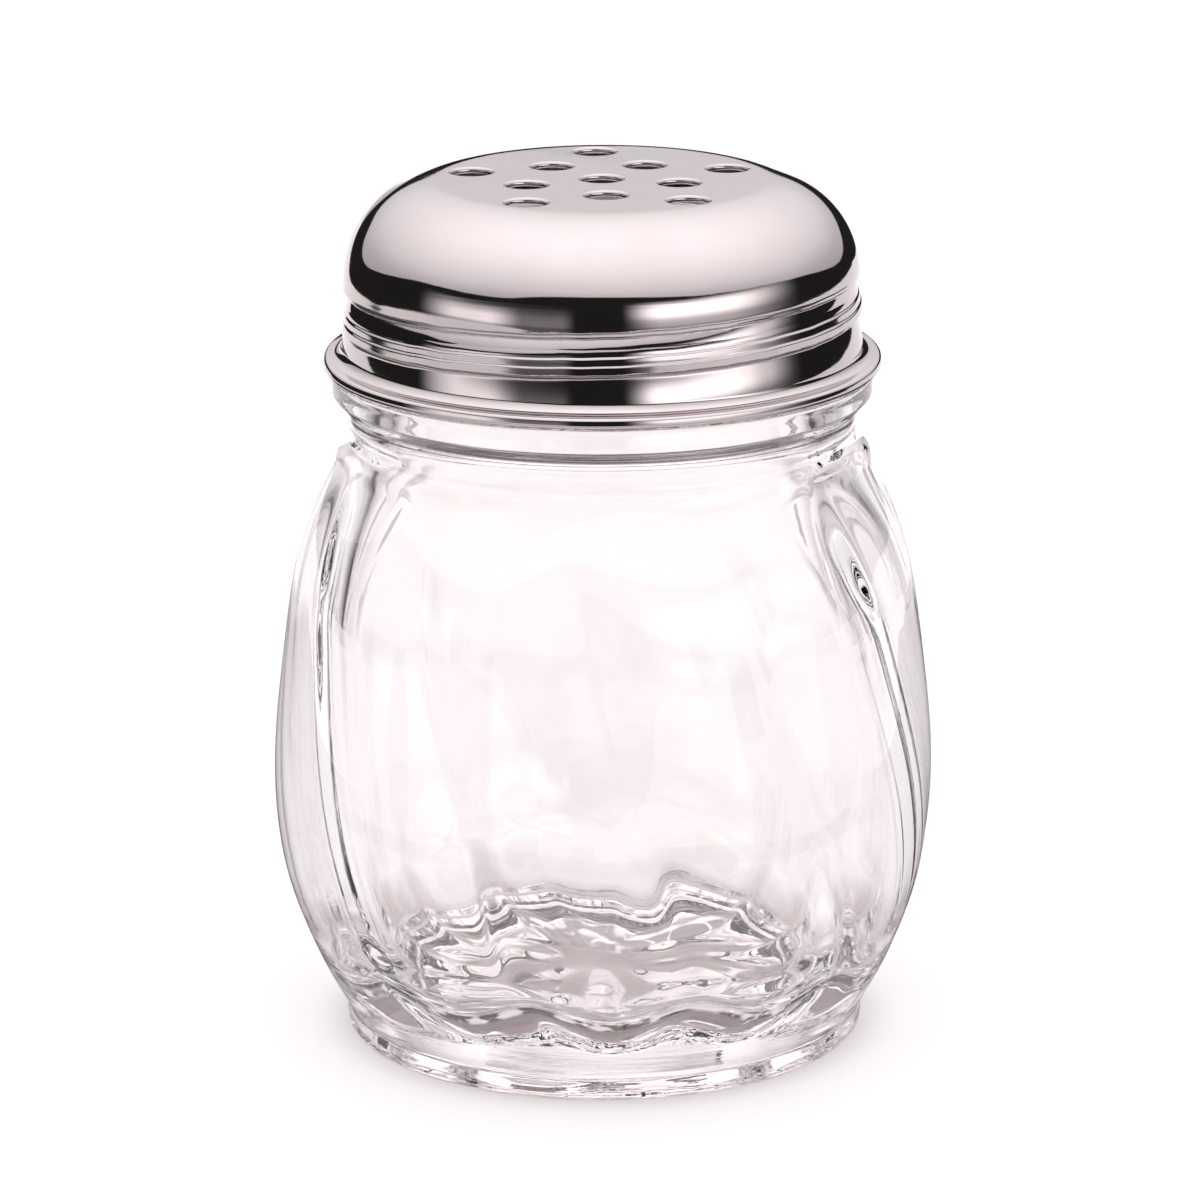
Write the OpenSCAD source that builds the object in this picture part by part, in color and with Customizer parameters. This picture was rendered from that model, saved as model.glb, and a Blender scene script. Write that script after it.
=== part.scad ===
// Parmesan shaker: swirled glass jar with a perforated screw lid and a liner ring.
// Millimetres, +Z up, the origin in the middle of the foot, on the table.

/* [Foot] */
// Radius of the foot ring
foot_r = 30.6; // [28:0.1:33]
// Height of the foot ring, up to the swirled body
foot_h = 2.6; // [2:0.1:4]
// Rounding of the foot's lower edge
foot_edge_r = 0.6; // [0.2:0.1:1]
// Width of the ring that touches the table
bearing_w = 4.4; // [3:0.1:8]
// Depth of the hollow inside that ring
kick_h = 1.1; // [0.4:0.1:1.4]

/* [Body] */
// Height of the swirled body, from the foot ring to the neck
body_h = 67.4; // [60:0.2:75]
// Outer radius just above the foot ring
ankle_r = 30.5; // [28:0.1:30.6]
// Outer radius of the heel
heel_r = 34.4; // [32:0.1:36]
// Outer radius between heel and belly
lower_r = 37.9; // [36:0.1:39]
// Outer radius of the belly, the widest place
belly_r = 38.95; // [37:0.05:42]
// Outer radius between belly and shoulder
flank_r = 37.65; // [36:0.05:39]
// Outer radius of the shoulder
shoulder_r = 35.3; // [34:0.1:37]
// Thickness of the body's wall
wall_t = 4.2; // [3:0.1:5.5]
// Height of the inner floor above the table
floor_z = 6; // [5:0.1:9]
// Rounding between the inner wall and the floor
floor_round_r = 3; // [2:0.1:6]

/* [Swirl] */
// Number of swirled lobes round the body
lobes = 10; // [8:1:12]
// Turn of the lobes from foot to neck, in degrees
swirl = 34; // [10:1:60]
// Azimuth of a lobe's crest at the foot, in degrees
lobe_start = 22.9; // [0:0.1:36]
// Height of the lobes on the outside
lobe_out = 0.35; // [0.1:0.05:0.6]
// Height of the lobes on the inside
lobe_in = 0.8; // [0.3:0.05:1.2]
// Depth of the scallops where the lobes meet the floor
scallop = 1.8; // [0.8:0.1:2.4]

/* [Neck] */
// Radius at the narrowest place of the neck
neck_r = 29.5; // [28.5:0.1:31]
// Radius of the cove that is turned into the neck
cove_r = 4.1; // [3.6:0.1:6]
// Height of the narrowest place above the body
cove_low = 3.2; // [2.4:0.1:3.4]
// Radius of the collar under the lid
collar_r = 31.4; // [30.8:0.1:33]
// Height of the collar's straight side
collar_h = 2.8; // [2:0.1:5]
// Rounding of the collar's upper edge
collar_edge_r = 0.6; // [0.2:0.1:1]

/* [Finish] */
// Outer radius of the glass under the screw thread
finish_r = 28.3; // [27:0.1:29]
// Height of the finish, from the collar to the rim
finish_h = 14.3; // [13.5:0.1:18]
// Radius of the mouth
bore_r = 24.2; // [20:0.1:25.5]
// Rounding of the rim's outer edge
rim_round_r = 1.2; // [0.5:0.1:1.5]
// Rise of the thread in one turn
pitch = 4.8; // [4.2:0.1:5.4]
// Height of the glass thread ridge
thread_h = 1; // [0.6:0.1:1.2]
// Width of the glass thread ridge at its root
thread_root_w = 2; // [1.6:0.1:2.4]
// Width of the glass thread ridge at its tip
thread_tip_w = 1; // [0.5:0.1:1.4]
// Height of the thread's lower end above the collar
thread_low = 6.1; // [5.8:0.1:7]
// Turns of the glass thread
thread_turns = 1; // [0.8:0.05:1.05]
// Azimuth of the thread's lower end, in degrees
thread_start = 200; // [0:1:359]

/* [Lid] */
// Thickness of the lid's sheet metal
sheet_t = 0.5; // [0.3:0.05:0.7]
// Clearance between the glass thread and the lid's skirt
skirt_gap = 0.4; // [0.25:0.05:0.6]
// How much narrower the dome is than the skirt
dome_inset = 0.4; // [0.4:0.05:1]
// Height of the dome's flat top above the liner ring
dome_h = 6.8; // [6:0.1:9]
// Radius of the dome's round shoulder
dome_round_r = 11; // [9:0.1:11.5]
// Height of the slope between dome and skirt
bead_h = 1.8; // [1:0.1:3]
// Clearance between the rolled groove and the glass, under the glass thread
groove_gap = 0.4; // [0.25:0.05:0.6]
// Width of the rolled groove at the skirt's surface
groove_w = 2.9; // [2.2:0.1:3]
// Width of the rolled groove at its bottom
groove_bottom_w = 0.6; // [0.4:0.1:0.8]
// Clearance between the two threads, along the axis
thread_gap = 0.3; // [0.2:0.05:0.5]
// Turns of the rolled groove
groove_turns = 1.64; // [1.4:0.02:1.7]
// How far the rolled groove starts before the glass thread does, in degrees
groove_lead = 50; // [5:1:55]
// Reach of the brim beyond the skirt
brim_w = 2.2; // [1.8:0.1:4]
// Radius of the curled hem
hem_r = 0.65; // [0.5:0.05:0.8]
// Clearance between the hem and the jar's collar
hem_gap = 0.4; // [0.2:0.05:0.8]
// Radius of the curve between skirt and brim
flare_r = 1.1; // [0.8:0.1:1.4]

/* [Perforations] */
// Radius of one perforation
hole_r = 2.38; // [1.5:0.01:2.6]
// Perforations in the inner ring and in the outer ring
ring_holes = 5; // [4:1:6]
// Radius of the inner ring of perforations
inner_ring_r = 9.2; // [7.5:0.1:10]
// Radius of the outer ring of perforations
outer_ring_r = 15.6; // [15:0.1:16]
// Turn of the pattern of perforations from the front, in degrees
hole_turn = 2.9; // [0:0.1:72]

/* [Liner ring] */
// Thickness of the liner ring
liner_t = 1; // [0.6:0.1:1.6]
// How much wider than the mouth the liner's hole is
liner_mouth_gap = 0.4; // [0.2:0.1:1]
// Clearance between the liner ring and the dome
liner_gap = 0.3; // [0.2:0.05:0.5]

/* [Hidden] */
$fn = 96;

// Points round the swirled body, and steps along its outside, inside and floor
round_steps = lobes * 8;
outer_steps = 16;
inner_steps = 12;
corner_steps = 3;
floor_steps = 2;
// Steps of a thread in one turn
thread_steps = 48;
// Turn over which a thread grows out of its wall, in turns
fade_turns = 0.14;
// How far cuts run past what they cut
overrun = 0.5;
// How far one part of a piece is sunk into the next
sink = 0.4;
// Ledge that keeps two joined skins apart
ledge = 0.12;

// Shares of the body's height where its outline has a named radius
outline_shares = [0, 0.11, 0.258, 0.421, 0.629, 0.837, 1];
// Share of the body's height where the wall grows thicker towards the neck
neck_wall_share = 0.7;
// Share of the body's height where the heel's thicker wall ends
heel_wall_share = 0.26;
// Share of the wall that the heel is thicker by
heel_extra_share = 0.25;
// Shares of the body's height where the lobes have risen from foot and neck
lobe_low_share = 0.12;
lobe_high_share = 0.78;
// Sharpness of the lines between lobes: nearer 0 is sharper
valley_soft_share = 0.18;

body_top = foot_h + body_h;
neck_z = body_top + cove_low;
cove_high = sqrt(pow(cove_r, 2) - pow(neck_r + cove_r - collar_r, 2));
collar_top = neck_z + cove_high + collar_h;
rim_z = collar_top + finish_h;
// Radius of the cove at a height below its narrowest place
function cove_at(z) = neck_r + cove_r - sqrt(pow(cove_r, 2) - pow(neck_z - z, 2));
throat_r = cove_at(body_top) - ledge;
outline_radii = [ankle_r, heel_r, lower_r, belly_r, flank_r, shoulder_r, throat_r];

liner_top = rim_z + liner_t;
dome_top = liner_top + dome_h;
round_z = dome_top - dome_round_r;
skirt_r = finish_r + thread_h + skirt_gap + sheet_t;
dome_r = skirt_r - dome_inset;
crown_r = dome_r - dome_round_r;
hem_z = collar_top + hem_gap + hem_r;
hem_ring_r = skirt_r + brim_w - hem_r;
flare_z = hem_z + hem_r + flare_r;

// The groove lies under the glass ridge, a clearance below it at the ridge's tip
ridge_r = finish_r + thread_h;
groove_tip_r = finish_r + groove_gap;
groove_h = skirt_r - sheet_t - groove_tip_r;
groove_slope = (groove_w - groove_bottom_w) / 2 / groove_h;
groove_half_at_ridge = groove_bottom_w / 2 + groove_slope * (ridge_r - groove_tip_r);
thread_drop = groove_half_at_ridge + thread_tip_w / 2 + thread_gap;
groove_low = collar_top + thread_low - thread_drop - pitch * groove_lead / 360;

// Radius of the dome's inside at a height above its widest place
function dome_inner_r(z) =
    crown_r + sqrt(pow(dome_round_r - sheet_t, 2) - pow(max(z - round_z, 0), 2));

function ease(t) = let (s = min(max(t, 0), 1)) s * s * (3 - 2 * s);
function share_of(z) = min(max((z - foot_h) / body_h, 0), 1);

// Outline of the body: a smooth curve through the named radii
function knot_slope(i) =
    let (a = max(i - 1, 0), b = min(i + 1, len(outline_shares) - 1))
    (outline_radii[b] - outline_radii[a]) / (outline_shares[b] - outline_shares[a]);
function span_of(s, i = 0) =
    i >= len(outline_shares) - 2 || s < outline_shares[i + 1] ? i : span_of(s, i + 1);
function body_r(z) =
    let (
        s = share_of(z),
        i = span_of(s),
        w = outline_shares[i + 1] - outline_shares[i],
        t = (s - outline_shares[i]) / w
    )
    outline_radii[i] * (2 * pow(t, 3) - 3 * pow(t, 2) + 1)
    + outline_radii[i + 1] * (3 * pow(t, 2) - 2 * pow(t, 3))
    + w * knot_slope(i) * (pow(t, 3) - 2 * pow(t, 2) + t)
    + w * knot_slope(i + 1) * (pow(t, 3) - pow(t, 2));

// Inside of the body: the outline less a wall that thickens at the neck and the heel
throat_wall = throat_r - bore_r - ledge;
function wall_at(z) =
    let (s = share_of(z))
    wall_t
    + (throat_wall - wall_t) * ease((s - neck_wall_share) / (1 - neck_wall_share))
    + wall_t * heel_extra_share * ease((heel_wall_share - s) / heel_wall_share);
function cavity_r(z) = body_r(z) - wall_at(z);

// Lobes: round crests with narrow valleys between them, from 1 on a crest to 0 in a valley
function crest(a) =
    let (soft = valley_soft_share, c = cos(a * lobes / 2))
    (sqrt(c * c + soft * soft) - soft) / (sqrt(1 + soft * soft) - soft);
function lobe_fade(z) =
    let (s = share_of(z))
    ease(s / lobe_low_share) * ease((1 - s) / (1 - lobe_high_share));
function neck_fade(z) = ease((1 - share_of(z)) / (1 - lobe_high_share));
function turn_at(z) = lobe_start - swirl * share_of(z);

function ring_point(r, a, z) = [r * cos(a + turn_at(z)), r * sin(a + turn_at(z)), z];
function outer_ring(r, z) = [
    for (i = [0:round_steps - 1]) let (a = 360 * i / round_steps)
    ring_point(r - lobe_out * lobe_fade(z) * (1 - crest(a)), a, z)
];
// A ring of the inside; reach is its share of the way out from the axis
function inner_ring(r, z, reach) =
    let (depth = max(lobe_in * neck_fade(z), scallop * ease((heel_top - z) / (heel_top - floor_z))))
    [
        for (i = [0:round_steps - 1]) let (a = 360 * i / round_steps)
        ring_point(r - depth * pow(reach, 2) * (1 - crest(a)), a, z)
    ];

heel_top = foot_h + body_h * heel_wall_share;
corner_z = floor_z + floor_round_r;
corner_r = cavity_r(corner_z) - floor_round_r;

body_rings = concat(
    [outer_ring(ankle_r, foot_h - sink)],
    [for (k = [0:outer_steps]) let (z = foot_h + body_h * k / outer_steps) outer_ring(body_r(z), z)],
    [outer_ring(cove_at(body_top + sink) - ledge, body_top + sink)],
    [inner_ring(cavity_r(body_top), body_top + sink, 1)],
    [for (k = [0:inner_steps])
        let (z = body_top + (corner_z - body_top) * k / inner_steps) inner_ring(cavity_r(z), z, 1)],
    [for (k = [1:corner_steps]) let (a = 90 * k / corner_steps)
        inner_ring(corner_r + floor_round_r * cos(a), corner_z - floor_round_r * sin(a), 1)],
    [for (k = [1:floor_steps]) let (s = 1 - k / (floor_steps + 1))
        inner_ring(corner_r * s, floor_z, s)]
);

// A closed skin over a list of rings of equal length, with a point at each end
function skin_points(rings, first, last) = concat([first], [for (r = rings) each r], [last]);
function skin_faces(n, m) = concat(
    [for (j = [0:n - 1]) [0, 1 + j, 1 + (j + 1) % n]],
    [for (i = [0:m - 2], j = [0:n - 1]) let (k = (j + 1) % n, a = 1 + i * n, b = a + n)
        each [[a + j, b + k, a + k], [a + j, b + j, b + k]]],
    [for (j = [0:n - 1]) [1 + m * n, 1 + (m - 1) * n + (j + 1) % n, 1 + (m - 1) * n + j]]
);

// A thread: a four-sided section swept along a helix, fading out at both ends.
// root_r and tip_r are the section's radii, root_w and tip_w its widths there.
module thread(root_r, tip_r, root_w, tip_w, low_z, from, turns) {
    steps = round(turns * thread_steps);
    outward = sign(tip_r - root_r);
    rings = [
        for (k = [0:steps])
        let (
            t = turns * k / steps,
            a = from + 360 * t,
            z = low_z + pitch * t,
            grown = ease(min(t, turns - t) / fade_turns),
            nub_r = root_r + outward * ledge / 2,
            r = nub_r + (tip_r - nub_r) * grown,
            tip_h = outward * tip_w / 2,
            root_h = tip_h + outward * (root_w - tip_w) / 2 * grown
        )
        [for (p = [[root_r, root_h], [root_r, -root_h], [r, -tip_h], [r, tip_h]])
            [p[0] * cos(a), p[0] * sin(a), z + p[1]]]
    ];
    n = len(rings[0]);
    m = len(rings);
    sides = [
        for (i = [0:m - 2], j = [0:n - 1]) let (k = (j + 1) % n, a = i * n, b = a + n)
        each [[a + j, b + k, b + j], [a + j, a + k, b + k]]
    ];
    last = (m - 1) * n;
    ends = [[0, 2, 1], [0, 3, 2], [last, last + 1, last + 2], [last, last + 2, last + 3]];
    polyhedron(points = [for (r = rings) each r], faces = concat(sides, ends));
}

// A square whose upper right corner is rounded
module rounded_top(w, h, r) {
    difference() {
        square([w, h]);
        translate([w - r, h - r]) difference() {
            square(r + overrun);
            circle(r);
        }
    }
}

module foot() {
    rotate_extrude() difference() {
        translate([0, foot_h]) mirror([0, 1]) rounded_top(foot_r, foot_h, foot_edge_r);
        polygon([
            [0, -overrun], [foot_r - bearing_w + overrun, -overrun],
            [foot_r - bearing_w - kick_h, kick_h], [0, kick_h]
        ]);
    }
}

module swirled_body() {
    polyhedron(
        points = skin_points(body_rings, [0, 0, foot_h - sink], [0, 0, floor_z]),
        faces = skin_faces(round_steps, len(body_rings))
    );
}

// Neck, collar and finish are one turned shape with the mouth bored through it
module neck_outline() {
    difference() {
        translate([0, body_top]) rounded_top(collar_r, collar_top - body_top, collar_edge_r);
        translate([neck_r + cove_r, neck_z]) circle(cove_r);
    }
    translate([0, body_top]) rounded_top(finish_r, rim_z - body_top, rim_round_r);
}

module neck() {
    rotate_extrude() difference() {
        neck_outline();
        translate([0, body_top - overrun]) square([bore_r, rim_z - body_top + 2 * overrun]);
    }
}

module jar() {
    color([0.86, 0.93, 0.92, 0.45]) union() {
        foot();
        swirled_body();
        neck();
        thread(finish_r - sink, ridge_r, thread_root_w, thread_tip_w,
            collar_top + thread_low, thread_start, thread_turns);
    }
}

module sealing_ring() {
    outer_r = dome_inner_r(liner_top) - liner_gap;
    color([0.93, 0.92, 0.88]) translate([0, 0, rim_z]) difference() {
        cylinder(r = outer_r, h = liner_t);
        translate([0, 0, -overrun]) cylinder(r = bore_r + liner_mouth_gap, h = liner_t + 2 * overrun);
    }
}

// Filled outline of dome, bead and skirt, inset by t
module shell_outline(t) {
    translate([crown_r, round_z]) circle(dome_round_r - t);
    square([crown_r, dome_top - t]);
    polygon([
        [0, flare_z], [skirt_r - t, flare_z], [skirt_r - t, round_z - bead_h / 2],
        [dome_r - t, round_z + bead_h / 2], [0, round_z + bead_h / 2]
    ]);
}

// Flare and curled hem below the skirt
module brim_outline() {
    intersection() {
        translate([skirt_r + flare_r, flare_z]) difference() {
            circle(flare_r + sheet_t);
            circle(flare_r);
        }
        translate([0, flare_z - flare_r - sheet_t]) square([skirt_r + flare_r, flare_r + sheet_t]);
    }
    translate([skirt_r + flare_r, hem_z + hem_r - sheet_t])
        square([hem_ring_r - skirt_r - flare_r, sheet_t]);
    translate([hem_ring_r, hem_z]) circle(hem_r);
}

module sheet_shell() {
    rotate_extrude() {
        difference() {
            intersection() {
                shell_outline(0);
                translate([0, flare_z]) square([skirt_r + overrun, dome_top]);
            }
            shell_outline(sheet_t);
            square([skirt_r - sheet_t, flare_z + overrun]);
        }
        brim_outline();
    }
}

module perforations() {
    places = concat(
        [[0, 0]],
        [for (i = [0:ring_holes - 1]) [inner_ring_r, hole_turn - 90 + 360 * i / ring_holes]],
        [for (i = [0:ring_holes - 1]) [outer_ring_r, hole_turn - 90 + 360 * (i + 0.5) / ring_holes]]
    );
    for (p = places)
        rotate(p[1]) translate([p[0], 0, dome_top - sheet_t - overrun])
            cylinder(r = hole_r, h = sheet_t + 2 * overrun);
}

// The rolled thread, seen from a wall of radius r: its ridge inside, its groove outside
module rolled_thread(r) {
    thread(r + ledge, r - groove_h, groove_w + 2 * groove_slope * ledge, groove_bottom_w,
        groove_low, thread_start - groove_lead, groove_turns);
}

module lid() {
    color([0.8, 0.8, 0.82]) difference() {
        union() {
            sheet_shell();
            rolled_thread(skirt_r - sheet_t);
        }
        rolled_thread(skirt_r);
        perforations();
    }
}

jar();
sealing_ring();
lid();
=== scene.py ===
# Looks of a parmesan shaker: swirled glass jar, perforated screw lid and liner ring.
# Metres, +Z up, the origin in the middle of the foot, on the table.
import math

import bmesh
import bpy
from mathutils import Matrix, Vector


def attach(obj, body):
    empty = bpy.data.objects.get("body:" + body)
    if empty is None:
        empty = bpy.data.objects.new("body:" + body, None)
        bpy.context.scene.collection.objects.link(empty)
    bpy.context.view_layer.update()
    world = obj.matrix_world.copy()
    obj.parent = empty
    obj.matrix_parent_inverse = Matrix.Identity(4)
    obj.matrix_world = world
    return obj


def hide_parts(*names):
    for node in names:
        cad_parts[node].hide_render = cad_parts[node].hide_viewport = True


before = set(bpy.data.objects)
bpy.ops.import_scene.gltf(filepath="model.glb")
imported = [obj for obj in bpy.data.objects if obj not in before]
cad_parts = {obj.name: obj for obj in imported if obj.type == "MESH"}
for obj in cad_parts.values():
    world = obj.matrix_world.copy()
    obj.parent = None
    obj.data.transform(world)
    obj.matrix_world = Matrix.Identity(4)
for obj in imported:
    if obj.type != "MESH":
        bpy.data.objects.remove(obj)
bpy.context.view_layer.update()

MM = 0.001
weld_gap = 2e-6

# Sizes of the glass, in millimetres
foot_r, foot_h, foot_edge_r = 30.6, 2.6, 0.6
foot_ripple, foot_ripples, foot_uneven = 0.06, 9, 0.3
crease_below, crease_above = 0.3, 0.25
bearing_w, kick_h = 4.4, 1.1
kick_curve = [(-1.2, 0.0), (-0.4, 0.05), (0.3, 0.45), (0.8, 0.85), (1.1, 1.04)]
bearing_ribs, rib_h = 60, 0.05
body_top = 70.0
body_knots = [(2.6, 30.5), (10.01, 34.4), (19.99, 37.86), (30.98, 38.88),
              (45.0, 37.65), (59.01, 35.3), (70.0, 31.02)]
neck_r, neck_z, cove_r = 29.5, 73.2, 4.1
collar_r, collar_low, collar_top, collar_edge_r = 31.4, 76.66, 79.46, 0.6
collar_low_edge_r, collar_low_edge_h, collar_flat_h = 0.3, 0.36, 0.5
finish_r, rim_z, bore_r, rim_round_r, bore_edge_r = 28.3, 93.76, 24.2, 1.2, 0.8
finish_foot = [(1.0, 0.0), (0.5, 0.08), (0.12, 0.4), (0.0, 0.9)]
finish_row_h, finish_rows_up, throat_h = 0.3, 1.2, 0.5
wall_t, floor_z, bowl_w, bowl_h = 4.2, 6.0, 14.0, 8.0
lobes, swirl, lobe_start = 10, 34.0, 22.9
lobe_out, lobe_in, scallop = 0.35, 1.25, 2.0
floor_ridge, floor_rise, glass_wave = 1.3, 1.2, 0.5
pitch = 4.8
thread_up, thread_h, thread_reach, thread_start = 6.1, 1.0, 1.1, 200.0

# Shares of the body's height, where its lobes and its thicker heel and shoulder end
heel_share, shoulder_share, lobe_low_share, lobe_top_share = 0.26, 0.3, 0.12, 0.22

# Shares of the floor's radius: the dome in the floor, and the calm place in its middle
rise_outer_share, rise_inner_share, calm_share = 0.9, 0.1, 0.3

# Other shares: extra glass at the heel, ridge and unevenness of the inner wall, soft valleys
heel_extra, wall_ridge, wall_uneven = 0.25, 0.5, 0.2
valley_soft, bottom_soft = 0.14, 0.45

# Sizes of the lid, in millimetres
sheet_t = 0.5
skirt_r, top_z = 30.2, 101.56
crown_r, dome_round_r = 18.8, 11.0
crown_seam_r = crown_r - 0.4
dome_foot = [(93.3, 29.454), (92.7, 29.597), (92.0, 29.736), (91.3, 29.84),
             (90.7, 29.905), (90.1, 29.95), (88.5, 30.07), (87.0, 30.2)]
flare_z, flare_r, hem_r, hem_ring_r, hem_z = 82.26, 1.1, 0.65, 31.75, 80.51
hem_flat_h, hem_flat_in, hem_top_out, hem_low_out = 0.34, 0.17, 0.14, 0.2
groove_depth, groove_low, groove_start, groove_turns = 0.76, 83.3, 150.0, 1.64
groove_fade_top, groove_fade_low = 1.6, 0.9
step_one, step_two, lean_top, steps_end = (1.4, 1.7), (2.35, 2.65), 3.4, (4.5, 4.9)
hole_r, hole_edge, inner_ring_r, outer_ring_r = 2.38, 0.3, 9.2, 15.6
hole_seam_r, hole_under_r = hole_r + hole_edge + 0.1, hole_r + 0.6
hole_drop, lip_h = 0.5, 0.22
lip_curve = [(0.0, 0.1), (0.06, 0.02), (0.16, 0.0), (0.3, 0.04)]
ring_holes, hole_turn = 5, 2.9

# Turns of the lid's groove: where its late sizes set in, where it is shallow, where steps fade in
late_turns, shallow_turns, steps_turns = (0.75, 1.0), (1.12, 1.3), (0.0, 0.1)

# Sizes of the liner ring, in millimetres
liner_t, liner_bore_r, liner_r = 1.0, 24.6, 28.1
liner_edge_r, liner_grooves, liner_groove_h = 0.18, 5, 0.12
liner_groove_out, liner_groove_in = 0.12, 0.04

# Steps round the axis
glass_steps, lid_steps, hole_steps, liner_steps = 380, 256, 64, 256


# Node trees

class Wire:
    """A socket of a node tree. Arithmetic on it adds Math nodes."""

    def __init__(self, tree, socket):
        self.tree = tree
        self.socket = socket

    def math(self, operation, *values):
        return node(self.tree, "ShaderNodeMath", {"operation": operation}, [self, *values])

    def __add__(self, other):
        return self.math("ADD", other)

    __radd__ = __add__

    def __sub__(self, other):
        return self.math("SUBTRACT", other)

    def __rsub__(self, other):
        return node(self.tree, "ShaderNodeMath", {"operation": "SUBTRACT"}, [other, self])

    def __mul__(self, other):
        return self.math("MULTIPLY", other)

    __rmul__ = __mul__

    def __truediv__(self, other):
        return self.math("DIVIDE", other)

    def __rtruediv__(self, other):
        return node(self.tree, "ShaderNodeMath", {"operation": "DIVIDE"}, [other, self])

    def __pow__(self, other):
        return self.math("POWER", other)

    def __neg__(self):
        return self * -1.0

    def __abs__(self):
        return self.math("ABSOLUTE")

    def cos(self):
        return self.math("COSINE")

    def root(self):
        return self.math("SQRT")

    def ease(self, low=0.0, high=1.0):
        """0 below low, 1 above high and a smooth rise between."""
        return node(self.tree, "ShaderNodeMapRange", {"interpolation_type": "SMOOTHSTEP"},
                    {"Value": self, "From Min": low, "From Max": high}, "Result")


def node(tree, kind, settings=None, sockets=None, out=0):
    """Add a node: its settings first, then the values or links of its sockets."""
    made = tree.nodes.new(kind)
    for name, value in (settings or {}).items():
        if name == "stops":
            put_stops(made.color_ramp, value)
        else:
            setattr(made, name, value)
    pairs = enumerate(sockets) if isinstance(sockets, (list, tuple)) else (sockets or {}).items()
    for key, value in pairs:
        if isinstance(value, Wire):
            tree.links.new(value.socket, made.inputs[key])
        elif value is not None:
            made.inputs[key].default_value = value
    if out is None:
        return made
    return Wire(tree, made.outputs[out])


def put_stops(ramp, stops):
    """Place a colour ramp's stops, given as position and colour."""
    while len(ramp.elements) > 1:
        ramp.elements.remove(ramp.elements[-1])
    for i, (place, colour) in enumerate(stops):
        stop = ramp.elements[0] if i == 0 else ramp.elements.new(place)
        stop.position = place
        stop.color = (*colour, 1.0)


def plug(tree, wire, socket):
    tree.links.new(wire.socket, socket)


def apart(tree, place):
    """x, y and z of a place."""
    parts = node(tree, "ShaderNodeSeparateXYZ", None, [place], None)
    return [Wire(tree, socket) for socket in parts.outputs]


def off_axis(x, y):
    """Distance from the jar's axis."""
    return (x * x + y * y).root()


def noise(tree, vector, scale, detail=2.0, rough=0.5):
    return node(tree, "ShaderNodeTexNoise", None,
                {"Vector": vector, "Scale": scale, "Detail": detail, "Roughness": rough}, "Fac")


def blend(tree, factor, low, high):
    """A colour between two."""
    mix = node(tree, "ShaderNodeMix", {"data_type": "RGBA"}, {0: factor}, None)
    for index, colour in ((6, low), (7, high)):
        if isinstance(colour, Wire):
            tree.links.new(colour.socket, mix.inputs[index])
        else:
            mix.inputs[index].default_value = (*colour, 1.0)
    return Wire(tree, mix.outputs[2])


class Shape:
    """A geometry tree with named inputs for its sizes."""

    def __init__(self, name, sizes):
        self.tree = bpy.data.node_groups.new(name, "GeometryNodeTree")
        face = self.tree.interface
        face.new_socket("Geometry", in_out="INPUT", socket_type="NodeSocketGeometry")
        face.new_socket("Geometry", in_out="OUTPUT", socket_type="NodeSocketGeometry")
        self.keys = {}
        for size in sizes:
            socket = face.new_socket(size, in_out="INPUT", socket_type="NodeSocketFloat")
            self.keys[size] = socket.identifier
        face.new_socket("Finish", in_out="INPUT", socket_type="NodeSocketMaterial")
        self.keys["Finish"] = face.items_tree[-1].identifier
        self.group = self.tree.nodes.new("NodeGroupInput")
        self.result = self.tree.nodes.new("NodeGroupOutput")
        self.geometry = self.size("Geometry")

    def size(self, name):
        return Wire(self.tree, self.group.outputs[name])

    def node(self, kind, settings=None, sockets=None, out=0):
        return node(self.tree, kind, settings, sockets, out)

    def position(self):
        """x, y and z of each point."""
        return apart(self.tree, self.node("GeometryNodeInputPosition"))

    def mark(self, name):
        """A number that each point carries."""
        return self.node("GeometryNodeInputNamedAttribute", {"data_type": "FLOAT"},
                         {"Name": name}, "Attribute")

    def vector(self, x, y, z):
        return self.node("ShaderNodeCombineXYZ", None, [x, y, z])

    def moved(self, geometry, x, y, z):
        return self.node("GeometryNodeSetPosition", None,
                         {"Geometry": geometry, "Position": self.vector(x, y, z)})

    def close(self, geometry):
        """End the tree in real geometry with its finish."""
        solid = self.node("GeometryNodeRealizeInstances", None, [geometry])
        done = self.node("GeometryNodeSetMaterial", None,
                         {"Geometry": solid, "Material": self.size("Finish")})
        plug(self.tree, done, self.result.inputs[0])


def shape_up(piece, shape, sizes, material):
    """Run a geometry tree on a piece and keep the result as its plain mesh."""
    modifier = piece.modifiers.new(shape.tree.name, "NODES")
    modifier.node_group = shape.tree
    for name, value in sizes.items():
        modifier[shape.keys[name]] = float(value)
    modifier[shape.keys["Finish"]] = material
    bpy.context.view_layer.update()
    graph = bpy.context.evaluated_depsgraph_get()
    mesh = bpy.data.meshes.new_from_object(piece.evaluated_get(graph))
    piece.modifiers.remove(modifier)
    old = piece.data
    piece.data = mesh
    bpy.data.meshes.remove(old)


# Turned blanks

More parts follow.
